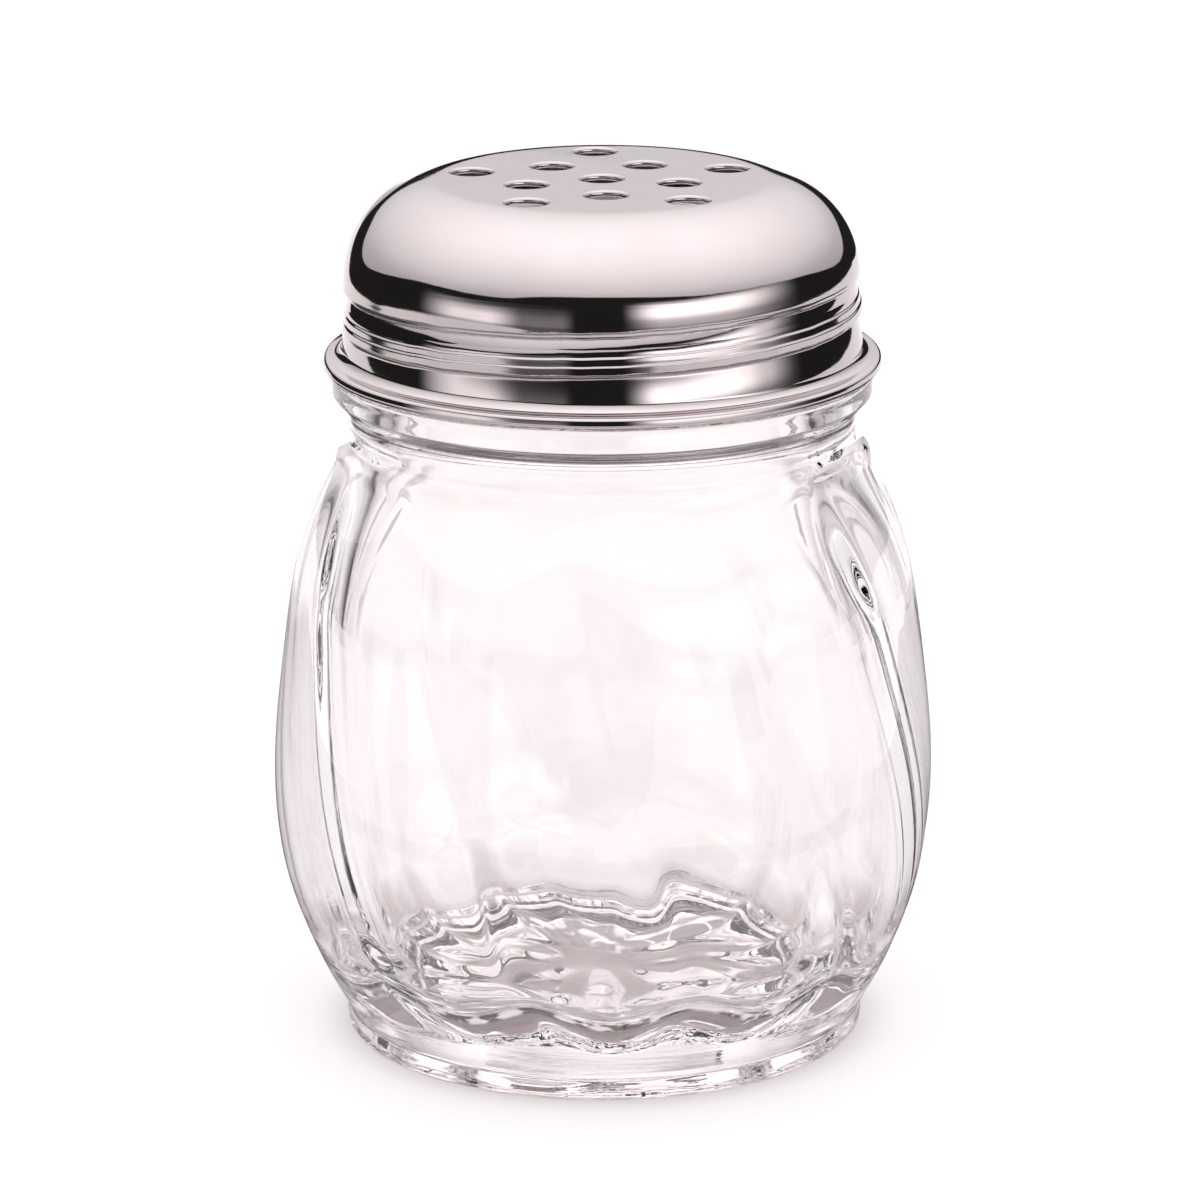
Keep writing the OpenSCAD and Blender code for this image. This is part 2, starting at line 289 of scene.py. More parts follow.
def turned(name, outline, steps, marks=None, closed=False):
    """Turn an outline of (radius, height) round the axis; a radius of 0 is a pole."""
    points, faces, rings = [], [], []
    for r, z in outline:
        if r < 1e-6:
            rings.append([len(points)])
            points.append((0.0, 0.0, z * MM))
            continue
        rings.append(list(range(len(points), len(points) + steps)))
        for i in range(steps):
            a = 2 * math.pi * i / steps
            points.append((r * MM * math.cos(a), r * MM * math.sin(a), z * MM))
    pairs = list(zip(rings, rings[1:]))
    if closed:
        pairs.append((rings[-1], rings[0]))
    for low, high in pairs:
        for i in range(steps):
            j = (i + 1) % steps
            if len(low) == 1:
                faces.append((low[0], high[j], high[i]))
            elif len(high) == 1:
                faces.append((low[i], low[j], high[0]))
            else:
                faces.append((low[i], low[j], high[j], high[i]))
    mesh = bpy.data.meshes.new(name)
    mesh.from_pydata(points, [], faces)
    for mark, values in (marks or {}).items():
        spread = [value for value, ring in zip(values, rings) for _ in ring]
        mesh.attributes.new(mark, "FLOAT", "POINT").data.foreach_set("value", spread)
    piece = bpy.data.objects.new(name, mesh)
    bpy.context.scene.collection.objects.link(piece)
    return piece


def arc(cx, cz, r, start, end, steps):
    """Points on a circle, from one angle to another, both ends included."""
    turns = [math.radians(start + (end - start) * k / steps) for k in range(steps + 1)]
    return [(cx + r * math.cos(a), cz + r * math.sin(a)) for a in turns]


def line(start, end, steps):
    """Points on a straight line, without its start."""
    return [(start[0] + (end[0] - start[0]) * k / steps,
             start[1] + (end[1] - start[1]) * k / steps) for k in range(1, steps + 1)]


def ease(t):
    t = min(max(t, 0.0), 1.0)
    return t * t * (3 - 2 * t)


def smooth_through(knots, x):
    """A smooth curve through knots of rising x."""
    last = len(knots) - 1
    i = 0
    while i < last - 1 and x >= knots[i + 1][0]:
        i += 1

    def slope(k):
        a, b = knots[max(k - 1, 0)], knots[min(k + 1, last)]
        return (b[1] - a[1]) / (b[0] - a[0])

    (x0, y0), (x1, y1) = knots[i], knots[i + 1]
    w = x1 - x0
    t = min(max((x - x0) / w, 0.0), 1.0)
    return (y0 * (2 * t ** 3 - 3 * t ** 2 + 1) + y1 * (3 * t ** 2 - 2 * t ** 3)
            + w * slope(i) * (t ** 3 - 2 * t ** 2 + t) + w * slope(i + 1) * (t ** 3 - t ** 2))


# Glass outline

def body_r(z):
    return smooth_through(body_knots, z)


def body_share(z):
    """0 at the top of the foot, 1 at the top of the body."""
    return (z - foot_h) / (body_top - foot_h)


def wall_at(z):
    """Glass thickness: thicker at the heel, and up to the bore at the shoulder."""
    s = min(max(body_share(z), 0.0), 1.0)
    throat_wall = body_knots[-1][1] - bore_r
    return (wall_t + (throat_wall - wall_t) * ease((s - 1 + shoulder_share) / shoulder_share)
            + wall_t * heel_extra * ease((heel_share - s) / heel_share))


def heel_depth(z):
    """0 above the heel, 1 at the height of the floor."""
    heel_top = foot_h + (body_top - foot_h) * heel_share
    return ease((heel_top - z) / (heel_top - floor_z))


def outer_lobe(z):
    s = body_share(z)
    return lobe_out * ease(s / lobe_low_share) * ease((1 - s) / lobe_top_share)


def inner_lobe(z):
    return max(lobe_in * ease((1 - body_share(z)) / lobe_top_share), scallop * heel_depth(z))


def glass_outline():
    """(radius, height, lobe depth, thread, bearing rib, floor ridge, bottom) round the section."""
    rows = []

    def add(points, lobe=0.0, thread=0.0, rib=0.0, ridge=0.0, bottom=0.0):
        for r, z in points:
            depth = lobe(z) if callable(lobe) else lobe
            rows.append((r, z, depth, thread, rib, ridge, bottom))

    kick_r = foot_r - bearing_w - kick_h
    bearing_r = kick_r + kick_curve[-1][0]
    add([(0.0, kick_h), (kick_r / 2, kick_h)])
    add([(kick_r + out, kick_h - down) for out, down in kick_curve])
    add(line((bearing_r, 0.0), (foot_r - foot_edge_r, 0.0), 6), rib=1.0)
    add(arc(foot_r - foot_edge_r, foot_edge_r, foot_edge_r, -75, 0, 5))
    for k in range(1, foot_ripples + 1):
        z = foot_edge_r + (foot_h - crease_below - foot_edge_r) * k / foot_ripples
        add([(foot_r - foot_ripple * (k % 2), z)], bottom=foot_uneven * (-1) ** k)
    steps = 56
    low = foot_h + crease_above
    for k in range(steps + 1):
        z = low + (body_top - low) * k / steps
        add([(body_r(z), z)], lobe=outer_lobe)
    start = math.degrees(math.asin((body_top - neck_z) / cove_r))
    end = math.degrees(math.asin((collar_low - neck_z) / cove_r))
    add(arc(neck_r + cove_r, neck_z, cove_r, 180 - start, 180 - end, 14)[1:-1])
    edge = collar_low_edge_r
    add(arc(collar_r - edge, collar_low + collar_low_edge_h, edge, -60, 0, 4))
    add(line((collar_r, collar_low + collar_flat_h), (collar_r, collar_top - collar_edge_r), 4))
    add(arc(collar_r - collar_edge_r, collar_top - collar_edge_r, collar_edge_r, 0, 90, 6)[1:])
    add([(finish_r + out, collar_top + up) for out, up in finish_foot])
    low, high = collar_top + finish_rows_up, rim_z - rim_round_r
    steps = int((high - low) / finish_row_h)
    add([(finish_r, low + finish_row_h * k) for k in range(steps + 1)], thread=1.0)
    add(arc(finish_r - rim_round_r, rim_z - rim_round_r, rim_round_r, 0, 90, 7))
    edge = bore_edge_r
    add(arc(bore_r + edge, rim_z - edge, edge, 90, 180, 6))
    add(line((bore_r, rim_z - edge), (bore_r, body_top + throat_h), 12))
    corner_z = floor_z + bowl_h
    steps = 46
    for k in range(steps + 1):
        z = body_top + (corner_z - body_top) * k / steps
        low = heel_depth(z)
        add([(body_r(z) - wall_at(z), z)], lobe=inner_lobe, ridge=wall_ridge * low,
            bottom=wall_uneven + (1 - wall_uneven) * low)
    corner_r = body_r(corner_z) - wall_at(corner_z) - bowl_w
    steps = 14
    for k in range(1, steps + 1):
        a = math.radians(90 * k / steps)
        r, z = corner_r + bowl_w * math.cos(a), corner_z - bowl_h * math.sin(a)
        ridge = wall_ridge + (1 - wall_ridge) * math.sin(2 * a)
        add([(r, z)], lobe=inner_lobe, ridge=ridge, bottom=1.0)
    for k in range(1, steps):
        s = 1 - k / steps
        rise = ease((rise_outer_share - s) / (rise_outer_share - rise_inner_share))
        ridge = wall_ridge * ease((s - calm_share) / (rise_outer_share - calm_share))
        add([(corner_r * s, floor_z + floor_rise * rise)], lobe=inner_lobe(floor_z) * s ** 3,
            ridge=ridge, bottom=ease(s / calm_share))
    add([(0.0, floor_z + floor_rise)])
    return rows


def swirl_shape():
    """Lobes that wind up the glass, with a narrow valley between each two."""
    shape = Shape("swirled_lobes", ["Lobes", "Swirl", "Start", "Low", "High", "Softness", "Wave"])
    x, y, z = shape.position()
    radius = off_axis(x, y)
    azimuth = y.math("ARCTAN2", x)
    share = (z - shape.size("Low")) / (shape.size("High") - shape.size("Low"))
    share = shape.node("ShaderNodeClamp", None, {"Value": share}, "Result")
    angle = azimuth - shape.size("Start") + shape.size("Swirl") * share
    soft = shape.size("Softness") + shape.mark("bottom") * bottom_soft
    wave = (angle * shape.size("Lobes") * 0.5).cos()
    crest = ((wave * wave + soft * soft).root() - soft) / ((1.0 + soft * soft).root() - soft)
    drawn_out = shape.vector(x, y, z * 0.3)
    uneven = (noise(shape.tree, drawn_out, 70.0, 0.5) - 0.5) * 2.0
    uneven = uneven * shape.size("Wave") * shape.mark("bottom")
    scale = 1.0 - (shape.mark("lobe") * (1.0 - crest) + uneven) / radius.math("MAXIMUM", 1e-5)
    at_floor = 1.0 - (z / (2 * floor_z * MM)).ease(0.6, 1.0)
    lift = shape.mark("ridge") * (1.0 - crest) + uneven * at_floor
    shape.close(shape.moved(shape.geometry, x * scale, y * scale, z + lift))
    return shape


def helix_shape():
    """A ridge, or a groove where Way is -1, that climbs round the axis.

    Its flanks above and below reach as far as their sizes say, with a bend that is 1 for a
    straight flank; the sizes named Late hold from the end of the first turn on. Above the
    first turn the wall leans and has two small steps."""
    shape = Shape("thread_ridge", [
        "Pitch", "Low", "Start", "Turns", "Way", "Soft", "Wander", "Fade", "Shallow",
        "Height", "Above", "Above bend", "Below", "Below bend",
        "Late Height", "Late Below", "Late Below bend", "Step", "Lean"])
    x, y, z = shape.position()
    radius = off_axis(x, y)
    around = shape.vector(x / radius, y / radius, 0.0)
    ripple = noise(shape.tree, around, 9.0, 3.0) - 0.5
    first = (y.math("ARCTAN2", x) - shape.size("Start")) / (2 * math.pi)
    first = first.math("FLOOR") * -1.0 + first
    soft = shape.size("Soft")
    lift = 0.0
    for turn in range(3):
        turns = first + float(turn)
        off = z - shape.size("Low") - shape.size("Pitch") * turns - ripple * shape.size("Wander")
        above = off.math("GREATER_THAN", 0.0)
        late = turns.ease(*late_turns)
        height, below, below_bend = [
            shape.size(name) + (shape.size("Late " + name) - shape.size(name)) * late
            for name in ("Height", "Below", "Below bend")]
        reach = below + (shape.size("Above") - below) * above
        bend = below_bend + (shape.size("Above bend") - below_bend) * above
        near = 1.0 - ((off * off + soft * soft).root() - soft) / reach
        left = turns.math("MINIMUM", shape.size("Turns") - turns)
        fade = (left / shape.size("Fade")).ease(0.0, 1.0)
        fade = fade * (1.0 - late * (1.0 - turns.ease(*shallow_turns)) * shape.size("Shallow"))
        ridge = near.math("MAXIMUM", 0.0) ** bend * fade * height
        lean = off.math("MAXIMUM", 0.0).math("MINIMUM", lean_top * MM) * shape.size("Lean")
        one, two, end = [off.ease(low * MM, high * MM) for low, high in (step_one, step_two, steps_end)]
        steps = (lean + (one + two) * shape.size("Step")) * (1.0 - end) * (1.0 - late)
        lift = lift + ridge + steps * turns.ease(*steps_turns)
    moved = radius + lift * shape.size("Way") * shape.mark("thread")
    scale = moved / radius.math("MAXIMUM", 1e-5)
    shape.close(shape.moved(shape.geometry, x * scale, y * scale, z))
    return shape


def rib_shape():
    """Small ribs round the ring that the glass stands on."""
    shape = Shape("bearing_ribs", ["Ribs", "Height"])
    x, y, z = shape.position()
    wave = abs((y.math("ARCTAN2", x) * shape.size("Ribs") * 0.5).cos())
    lift = wave.ease(0.35, 0.85) * shape.size("Height") * shape.mark("rib")
    shape.close(shape.moved(shape.geometry, x, y, z + lift))
    return shape


# Lid outline

def dome_at(z):
    """Outer radius of the dome, and of its foot down to the skirt."""
    if z < dome_foot[0][0]:
        return smooth_through([(b, a) for b, a in reversed(dome_foot)], max(z, dome_foot[-1][0]))
    round_z = top_z - dome_round_r
    return crown_r + math.sqrt(dome_round_r ** 2 - (z - round_z) ** 2)


def lid_outline():
    """(radius, height, thread) all round the sheet, from crown to crown."""
    rows = []
    round_z = top_z - dome_round_r
    high, low = dome_foot[0][0], flare_z + 0.02

    def add(points, thread=0.0):
        rows.extend((r, z, thread) for r, z in points)

    def add_skirt(zs, inset):
        for z in zs:
            add([(dome_at(z) - inset, z)], thread=ease((high - z) / groove_fade_top))

    def add_flare(r, start, end, steps):
        for r, z in arc(skirt_r + flare_r, flare_z, r, start, end, steps):
            add([(r, z)], thread=ease((z - flare_z) / groove_fade_low + 1.0))

    def foot_angle(r):
        return math.degrees(math.asin((high - round_z) / r))

    add([(crown_seam_r, top_z)])
    add(arc(crown_r, round_z, dome_round_r, 90, foot_angle(dome_round_r), 44))
    steps = 190
    add_skirt([high + (low - high) * k / steps for k in range(1, steps + 1)], 0.0)
    add_flare(flare_r, 180, 270, 9)
    round_r = hem_r - hem_flat_in
    upper, lower = hem_z + hem_flat_h / 2, hem_z - hem_flat_h / 2
    top_r, low_r = hem_ring_r + hem_top_out, hem_ring_r + hem_low_out
    tip_out, tip_up = round_r * 0.985, round_r * 0.174
    add(arc(top_r, upper, round_r, 90, 10, 10)[1:])
    add(line((top_r + tip_out, upper + tip_up), (low_r + tip_out, lower + tip_up), 3))
    add(arc(low_r, lower, round_r, 4, -90, 9))
    add(arc(hem_ring_r, hem_z, hem_r, -96, -205, 9))
    add_flare(flare_r + sheet_t, 262, 180, 7)
    steps = 36
    add_skirt([low + (high - low) * k / steps for k in range(steps + 1)], sheet_t)
    inner_r = dome_round_r - sheet_t
    add(arc(crown_r, round_z, inner_r, foot_angle(inner_r) + 1.5, 90, 20))
    add([(crown_seam_r, top_z - sheet_t)])
    return rows


def perforated_shape():
    """The flat crown: two sheets with a pattern of holes, and the rolled edge of each hole."""
    shape = Shape("perforated_crown",
                  ["Inner", "Outer", "Turn", "Crown", "Reach", "Under", "Top", "Sheet"])

    def ring(radius, turn):
        points = shape.node("GeometryNodeMeshCircle", None,
                            {"Vertices": ring_holes, "Radius": shape.size(radius)})
        return shape.node("GeometryNodeTransform", None,
                          {"Geometry": points, "Rotation": shape.vector(0.0, 0.0, turn)})

    def joined(parts):
        join = shape.node("GeometryNodeJoinGeometry", None, None, None)
        for part in parts:
            plug(shape.tree, part, join.inputs[0])
        return Wire(shape.tree, join.outputs[0])

    def circle(radius, steps):
        return shape.node("GeometryNodeCurvePrimitiveCircle", {"mode": "RADIUS"},
                          {"Resolution": steps, "Radius": shape.size(radius)}, "Curve")

    def at_places(instance):
        copies = shape.node("GeometryNodeInstanceOnPoints", None,
                            {"Points": places, "Instance": instance})
        return shape.node("GeometryNodeRealizeInstances", None, [copies])

    def plate(reach, height, flip):
        cuts = at_places(circle(reach, hole_steps))
        flat = shape.node("GeometryNodeFillCurve", None,
                          {"Curve": joined([circle("Crown", lid_steps), cuts])})
        if flip:
            flat = shape.node("GeometryNodeFlipFaces", None, [flat])
        return shape.node("GeometryNodeTransform", None,
                          {"Geometry": flat, "Translation": shape.vector(0.0, 0.0, height)})

    turn = shape.size("Turn")
    middle = shape.node("GeometryNodeMeshLine", None, {"Count": 1})
    places = joined([middle, ring("Inner", turn), ring("Outer", turn + math.pi / ring_holes)])
    edges = at_places(shape.geometry)
    upper = plate("Reach", shape.size("Top"), False)
    lower = plate("Under", shape.size("Top") - shape.size("Sheet"), True)
    welded = shape.node("GeometryNodeMergeByDistance", None,
                        {"Geometry": joined([edges, upper, lower]), "Distance": weld_gap})
    shape.close(welded)
    return shape


def hole_outline():
    """Section of one hole's edge: drawn down a little and rounded, then back under."""
    under_z = top_z - sheet_t
    rows = [(hole_seam_r, top_z), (hole_r + hole_edge, top_z)]
    rows += [(hole_r + hole_edge * (1 - math.sin(a)), top_z - hole_drop * (1 - math.cos(a)))
             for a in [math.radians(90 * k / 7) for k in range(1, 8)]]
    rows += [(hole_r + out, under_z - lip_h + up) for out, up in lip_curve]
    rows += [(hole_under_r - 0.1, under_z - 0.01), (hole_under_r, under_z)]
    return rows


# Liner outline

def liner_outline():
    """Section of the liner ring, with shallow pressed grooves in its top."""
    low, high, edge = rim_z, rim_z + liner_t, liner_edge_r
    outer, inner = liner_r - edge, liner_bore_r + edge
    rows = arc(outer, low + edge, edge, -90, 0, 4) + arc(outer, high - edge, edge, 0, 90, 4)
    for k in range(1, liner_grooves + 1):
        r = outer + (inner - outer) * k / (liner_grooves + 1)
        bed = high - liner_groove_h
        rows += [(r + liner_groove_out, high), (r + liner_groove_in, bed)]
        rows += [(r - liner_groove_in, bed), (r - liner_groove_out, high)]
    rows += arc(inner, high - edge, edge, 90, 180, 4)
    rows += arc(inner, low + edge, edge, 180, 270, 4)
    return rows


# Making

def weld(piece):
    """Merge doubles, turn the faces outwards and shade them smooth."""
    work = bmesh.new()
    work.from_mesh(piece.data)
    bmesh.ops.remove_doubles(work, verts=work.verts, dist=weld_gap)
    bmesh.ops.recalc_face_normals(work, faces=work.faces)
    for face in work.faces:
        face.smooth = True
    work.to_mesh(piece.data)
    work.free()
    piece.data.update()


def merged(name, pieces):
    """One piece from several."""
    work = bmesh.new()
    for piece in pieces:
        work.from_mesh(piece.data)
    mesh = bpy.data.meshes.new(name)
    work.to_mesh(mesh)
    work.free()
    for material in pieces[0].data.materials:
        mesh.materials.append(material)
    for piece in pieces:
        bpy.data.objects.remove(piece)
    whole = bpy.data.objects.new(name, mesh)
    bpy.context.scene.collection.objects.link(whole)
    return whole


def standing_for(piece, body, cad):
    weld(piece)
    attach(piece, body)
    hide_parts(cad)


# Finishes

def finish(name):
    """A new material's tree, its Principled shader and its place on the piece."""
    material = bpy.data.materials.new(name)
    material.use_nodes = True
    tree = material.node_tree
    shader = tree.nodes["Principled BSDF"]
    place = node(tree, "ShaderNodeTexCoord", None, None, "Object")
    return material, tree, shader, place


def stretched(tree, place, factors):
    """A place with its axes scaled, for a pattern that is drawn out or flattened."""
    return node(tree, "ShaderNodeVectorMath", {"operation": "MULTIPLY"}, [place, factors])


def put_bump(tree, shader, height, strength, distance):
    bump = node(tree, "ShaderNodeBump", None,
                {"Strength": strength, "Distance": distance, "Height": height}, "Normal")
    plug(tree, bump, shader.inputs["Normal"])


def plated_metal():
    material, tree, shader, place = finish("bright_plated_sheet")
    x, y, z = apart(tree, place)
    lathe = node(tree, "ShaderNodeCombineXYZ", None,
                 [off_axis(x, y), z, y.math("ARCTAN2", x) * 0.0006])
    spin = noise(tree, lathe, 5200.0, 3.0)
    haze = noise(tree, place, 55.0, 4.0)
    smudge = noise(tree, place, 240.0, 3.0, 0.6).ease(0.52, 0.72)
    wavy = noise(tree, place, 90.0, 1.0)
    grain = noise(tree, place, 2600.0, 2.0)
    colour = blend(tree, haze.ease(0.3, 0.7), (0.488, 0.454, 0.455), (0.528, 0.489, 0.494))
    plug(tree, colour, shader.inputs["Base Color"])
    plug(tree, 0.035 + spin * 0.025 + smudge * 0.02, shader.inputs["Roughness"])
    put_bump(tree, shader, wavy * 0.9 + spin * 0.02 + grain * 0.01, 0.35, 0.00012)
    shader.inputs["Metallic"].default_value = 1.0
    return material


def pressed_glass():
    material, tree, shader, place = finish("clear_pressed_glass")
    x, y, z = apart(tree, place)
    flow = noise(tree, stretched(tree, place, (1.0, 1.0, 0.3)), 60.0, 2.0)
    streaks = noise(tree, stretched(tree, place, (1.0, 1.0, 14.0)), 95.0, 3.0)
    orange = noise(tree, place, 420.0, 2.0)
    mist = noise(tree, place, 160.0, 4.0, 0.6)
    bottom = 1.0 - z.ease(0.004, 0.011)
    foot_wall = 1.0 - z.ease(0.0026, 0.0045)
    tint = blend(tree, mist.ease(0.3, 0.7), (0.943, 0.925, 0.928), (0.962, 0.952, 0.955))
    tint = blend(tree, bottom * 0.9, tint, (0.86, 0.81, 0.815))
    tint = blend(tree, foot_wall * 0.9, tint, (0.66, 0.61, 0.615))
    plug(tree, tint, shader.inputs["Base Color"])
    plug(tree, mist.ease(0.55, 0.8) * 0.03 + 0.004, shader.inputs["Roughness"])
    put_bump(tree, shader, flow + orange * 0.06 + streaks * bottom * 0.7, 0.3, 0.0002)
    shader.inputs["Transmission Weight"].default_value = 1.0
    shader.inputs["IOR"].default_value = 1.51
    return material


def liner_stuff():
    material, tree, shader, place = finish("soft_liner")
    patch = noise(tree, place, 130.0, 4.0)
    pores = noise(tree, place, 2400.0, 3.0)
    colour = blend(tree, patch.ease(0.3, 0.7), (0.80, 0.79, 0.75), (0.88, 0.87, 0.83))
    plug(tree, colour, shader.inputs["Base Color"])
    plug(tree, 0.55 + pores * 0.2, shader.inputs["Roughness"])
    put_bump(tree, shader, pores, 0.4, 0.0001)
    return material


# The camera and the studio

camera_rise, camera_away, aim_z = 15.94, 0.679, 0.0511
photo_width, focal_length, side_shift, camera_roll = 1200, 5780, -3, -0.003
sensor_width = 36.0


def set_camera():
    """The photo's camera; focal length and side shift are in pixels of the photo."""
    rise = math.radians(camera_rise)
    aim = Vector((0.0, 0.0, aim_z))
    away = Vector((0.0, -math.cos(rise), math.sin(rise))) * camera_away
    camera = bpy.data.cameras.new("camera")
    camera.sensor_width = sensor_width
    camera.lens = sensor_width * focal_length / photo_width
    camera.shift_x = side_shift / photo_width
    holder = bpy.data.objects.new("camera", camera)
    bpy.context.scene.collection.objects.link(holder)
    turn = (-away).to_track_quat("-Z", "Y").to_matrix().to_4x4()
    roll = Matrix.Rotation(camera_roll, 4, "Z")
    holder.matrix_world = Matrix.Translation(aim + away) @ turn @ roll
    bpy.context.scene.camera = holder


def studio_piece(name, points, faces, material, unseen):
    """A piece of the studio. The kinds of rays that it is unseen by pass through it."""
    mesh = bpy.data.meshes.new(name)
    mesh.from_pydata(points, [], faces)
    mesh.materials.append(material)
    piece = bpy.data.objects.new(name, mesh)
    bpy.context.scene.collection.objects.link(piece)
    for rays in unseen:
        setattr(piece, "visible_" + rays, False)


gloss_and_glass = ["camera", "diffuse", "shadow"]
gloss_alone = gloss_and_glass + ["transmission"]
glass_alone = gloss_and_glass + ["glossy"]


def shining(tree, shader, colour, strength=1.0, clear=None):
    """Make a material shine by itself and reflect nothing; clear is the share that it lets through."""
    tree.nodes.remove(shader)
    surface = node(tree, "ShaderNodeEmission", None, {"Color": colour, "Strength": strength})
    if clear is not None:
        through = node(tree, "ShaderNodeBsdfTransparent")
        surface = node(tree, "ShaderNodeMixShader", None, [clear, surface, through])
    plug(tree, surface, tree.nodes["Material Output"].inputs["Surface"])


def round_points(radii, steps, z):
    """Points round the axis: at each angle one for each radius."""
    turns = [2 * math.pi * k / steps for k in range(steps)]
    return [(r * math.cos(a), r * math.sin(a), z) for a in turns for r in radii]


def band_faces(steps, start=0):
    """Faces between the two circles of round_points."""
    pairs = [(start + 2 * k, start + 2 * ((k + 1) % steps)) for k in range(steps)]
    return [(j, j + 1, n + 1, n) for j, n in pairs]


def strip_faces(steps, start=0):
    """Faces of an open strip that has two points at each step."""
    return [(j, j + 1, j + 3, j + 2) for j in range(start, start + 2 * steps, 2)]


sky_top, sky_tilt = 2.1, 7
sky_grade = [(0.0, 0.5), (0.25, 0.8), (0.33, 0.98), (0.42, 1.2), (0.52, 1.36), (0.65, 1.56),
             (0.78, 1.76), (0.9, 1.93), (1.0, 2.05)]


def set_sky():
    """A soft white ceiling that is brightest overhead, and a brighter spot behind the jar."""
    world = bpy.data.worlds.new("studio")
    bpy.context.scene.world = world
    world.use_nodes = True
    tree = world.node_tree
    way = node(tree, "ShaderNodeTexCoord", None, None, "Generated")
    tilt = math.radians(sky_tilt)
    lean = node(tree, "ShaderNodeVectorMath", {"operation": "DOT_PRODUCT"},
                [way, (0.0, math.sin(tilt), math.cos(tilt))], "Value")
    stops = [(place, (light / sky_top,) * 3) for place, light in sky_grade]
    grade = node(tree, "ShaderNodeValToRGB", {"stops": stops}, [lean], "Color")
    x, y, z = apart(tree, way)
    back = tree.nodes["Background"]
    back.inputs["Color"].default_value = (1.0, 0.95, 0.952, 1.0)
    plug(tree, grade * sky_top + y.ease(0.983, 0.994) * 0.8, back.inputs["Strength"])


# Azimuth, lower edge and upper edge of the dark surround, in degrees
surround_edges = [
    (-180, 4, 11.3), (-175, 4.5, 10.6), (-165, 5.5, 10.2), (-158, -2, 9.8), (-150, -8, 9.3),
    (-140, -9, 4), (-133, -9, 2.3), (-125, -9, 3.5), (-115, -9, 6.5), (-105, -7.5, 10),
    (-90, -5.5, 14.5), (-75, -4.5, 16.5), (-60, -4, 17), (-45, -4, 18), (-30, -6, 23),
    (-15, -8.5, 25.5), (-11, -17, 25.7), (0, -18, 25.8), (9, -17, 25.4), (13, -8, 25),
    (20, -4, 24), (30, -3.5, 22.5), (45, -3.5, 20), (60, -3.5, 18.5), (75, -3.5, 17),
    (90, -4, 14), (105, -4, 10.5), (120, -4.5, 5.5), (130, -4.5, 2.8), (140, -5, 2.5),
    (150, -6, 5.5), (160, -8, 6.8), (168, -8, 7.5), (174, 4.5, 9), (180, 4, 11.3),
]
surround_reach, eye_z, table_gap = 1.6, 0.09, 0.002


def set_surround():
    """The dark side of the studio with two soft windows. Only gloss and glass see its wall, and
    only gloss sees its strip on the table and the part behind the jar."""
    lows = [(a, low) for a, low, high in surround_edges]
    highs = [(a, high) for a, low, high in surround_edges]
    reach = surround_reach
    points, wall, strip = [], [], []
    for k in range(361):
        azimuth = -180 + k
        out = Vector((math.sin(math.radians(azimuth)), -math.cos(math.radians(azimuth)), 0.0))
        low = math.radians(smooth_through(lows, azimuth))
        foot = eye_z + reach * math.tan(low)
        head = eye_z + reach * math.tan(math.radians(smooth_through(highs, azimuth)))
        near = reach if foot > table_gap else eye_z / math.tan(-low)
        for away, height in ((near, foot), (reach, foot), (reach, head)):
            points.append(out * away + Vector((0.0, 0.0, max(height, table_gap))))
        if k:
            j = 3 * k
            strip.append((j - 3, j, j + 1, j - 2))
            (strip if abs(azimuth) > 162 else wall).append((j - 2, j + 1, j + 2, j - 1))
    material, tree, shader, place = finish("dark_surround")
    x, y, z = apart(tree, place)
    azimuth = x.math("ARCTAN2", -y) * (180 / math.pi)
    rise = (z - eye_z) * (57.3 / reach)
    left = azimuth.ease(-88, -64) * (1.0 - azimuth.ease(-52, -34)) * (1.0 - rise.ease(2, 13))
    dim = azimuth.ease(-62, -40) * (1.0 - azimuth.ease(-18, -11)) * (1.0 - rise.ease(0, 16))
    right = azimuth.ease(8, 27) * (1.0 - azimuth.ease(50, 98)) * (1.0 - rise.ease(11, 20))
    right = right * (0.3 + rise.ease(0, 9) * 0.7)
    glow = 0.02 + (left * 1.6 + dim * 0.3 + right * 2.7) * rise.ease(-5, -1)
    shining(tree, shader, (1.0, 0.93, 0.93, 1.0), glow)
    studio_piece("surround", points, wall, material, gloss_and_glass)
    studio_piece("surround_foot", points, strip, material, gloss_alone)


def set_ring():
    """A dark ring on the table round the jar that fades out behind it; only gloss sees it."""
    steps = 180
    material, tree, shader, place = finish("dark_ring")
    x, y, z = apart(tree, place)
    glow = noise(tree, place, 12.0).ease(0.3, 0.7) * 0.12 + 0.04
    shining(tree, shader, (1.0, 0.95, 0.95, 1.0), glow, clear=y.ease(-0.03, 0.06))
    studio_piece("dark_ring", round_points((0.122, 0.152), steps, 0.0015), band_faces(steps),
                 material, gloss_alone)


def set_edge_shade():
    """Dark sheets on the table behind the jar, left and right, that the edges of the glass
    reflect as a fine outline; only gloss sees them."""
    points = [(side * x, y, 0.001) for side in (-1, 1)
              for x, y in ((0.03, -0.04), (0.2, -0.04), (0.2, 0.24), (0.03, 0.24))]
    material, tree, shader, place = finish("edge_shade")
    x, y, z = apart(tree, place)
    clear = 1.0 - y.ease(-0.04, 0.03) * (1.0 - y.ease(0.18, 0.24))
    shining(tree, shader, (0.1, 0.09, 0.09, 1.0), clear=clear)
    studio_piece("edge_shade", points, [(0, 1, 2, 3), (4, 5, 6, 7)], material, gloss_alone)


# Half the picture's width for each metre from the camera, and the camera's distance from the axis
picture_slope, camera_y = 0.112, 0.653


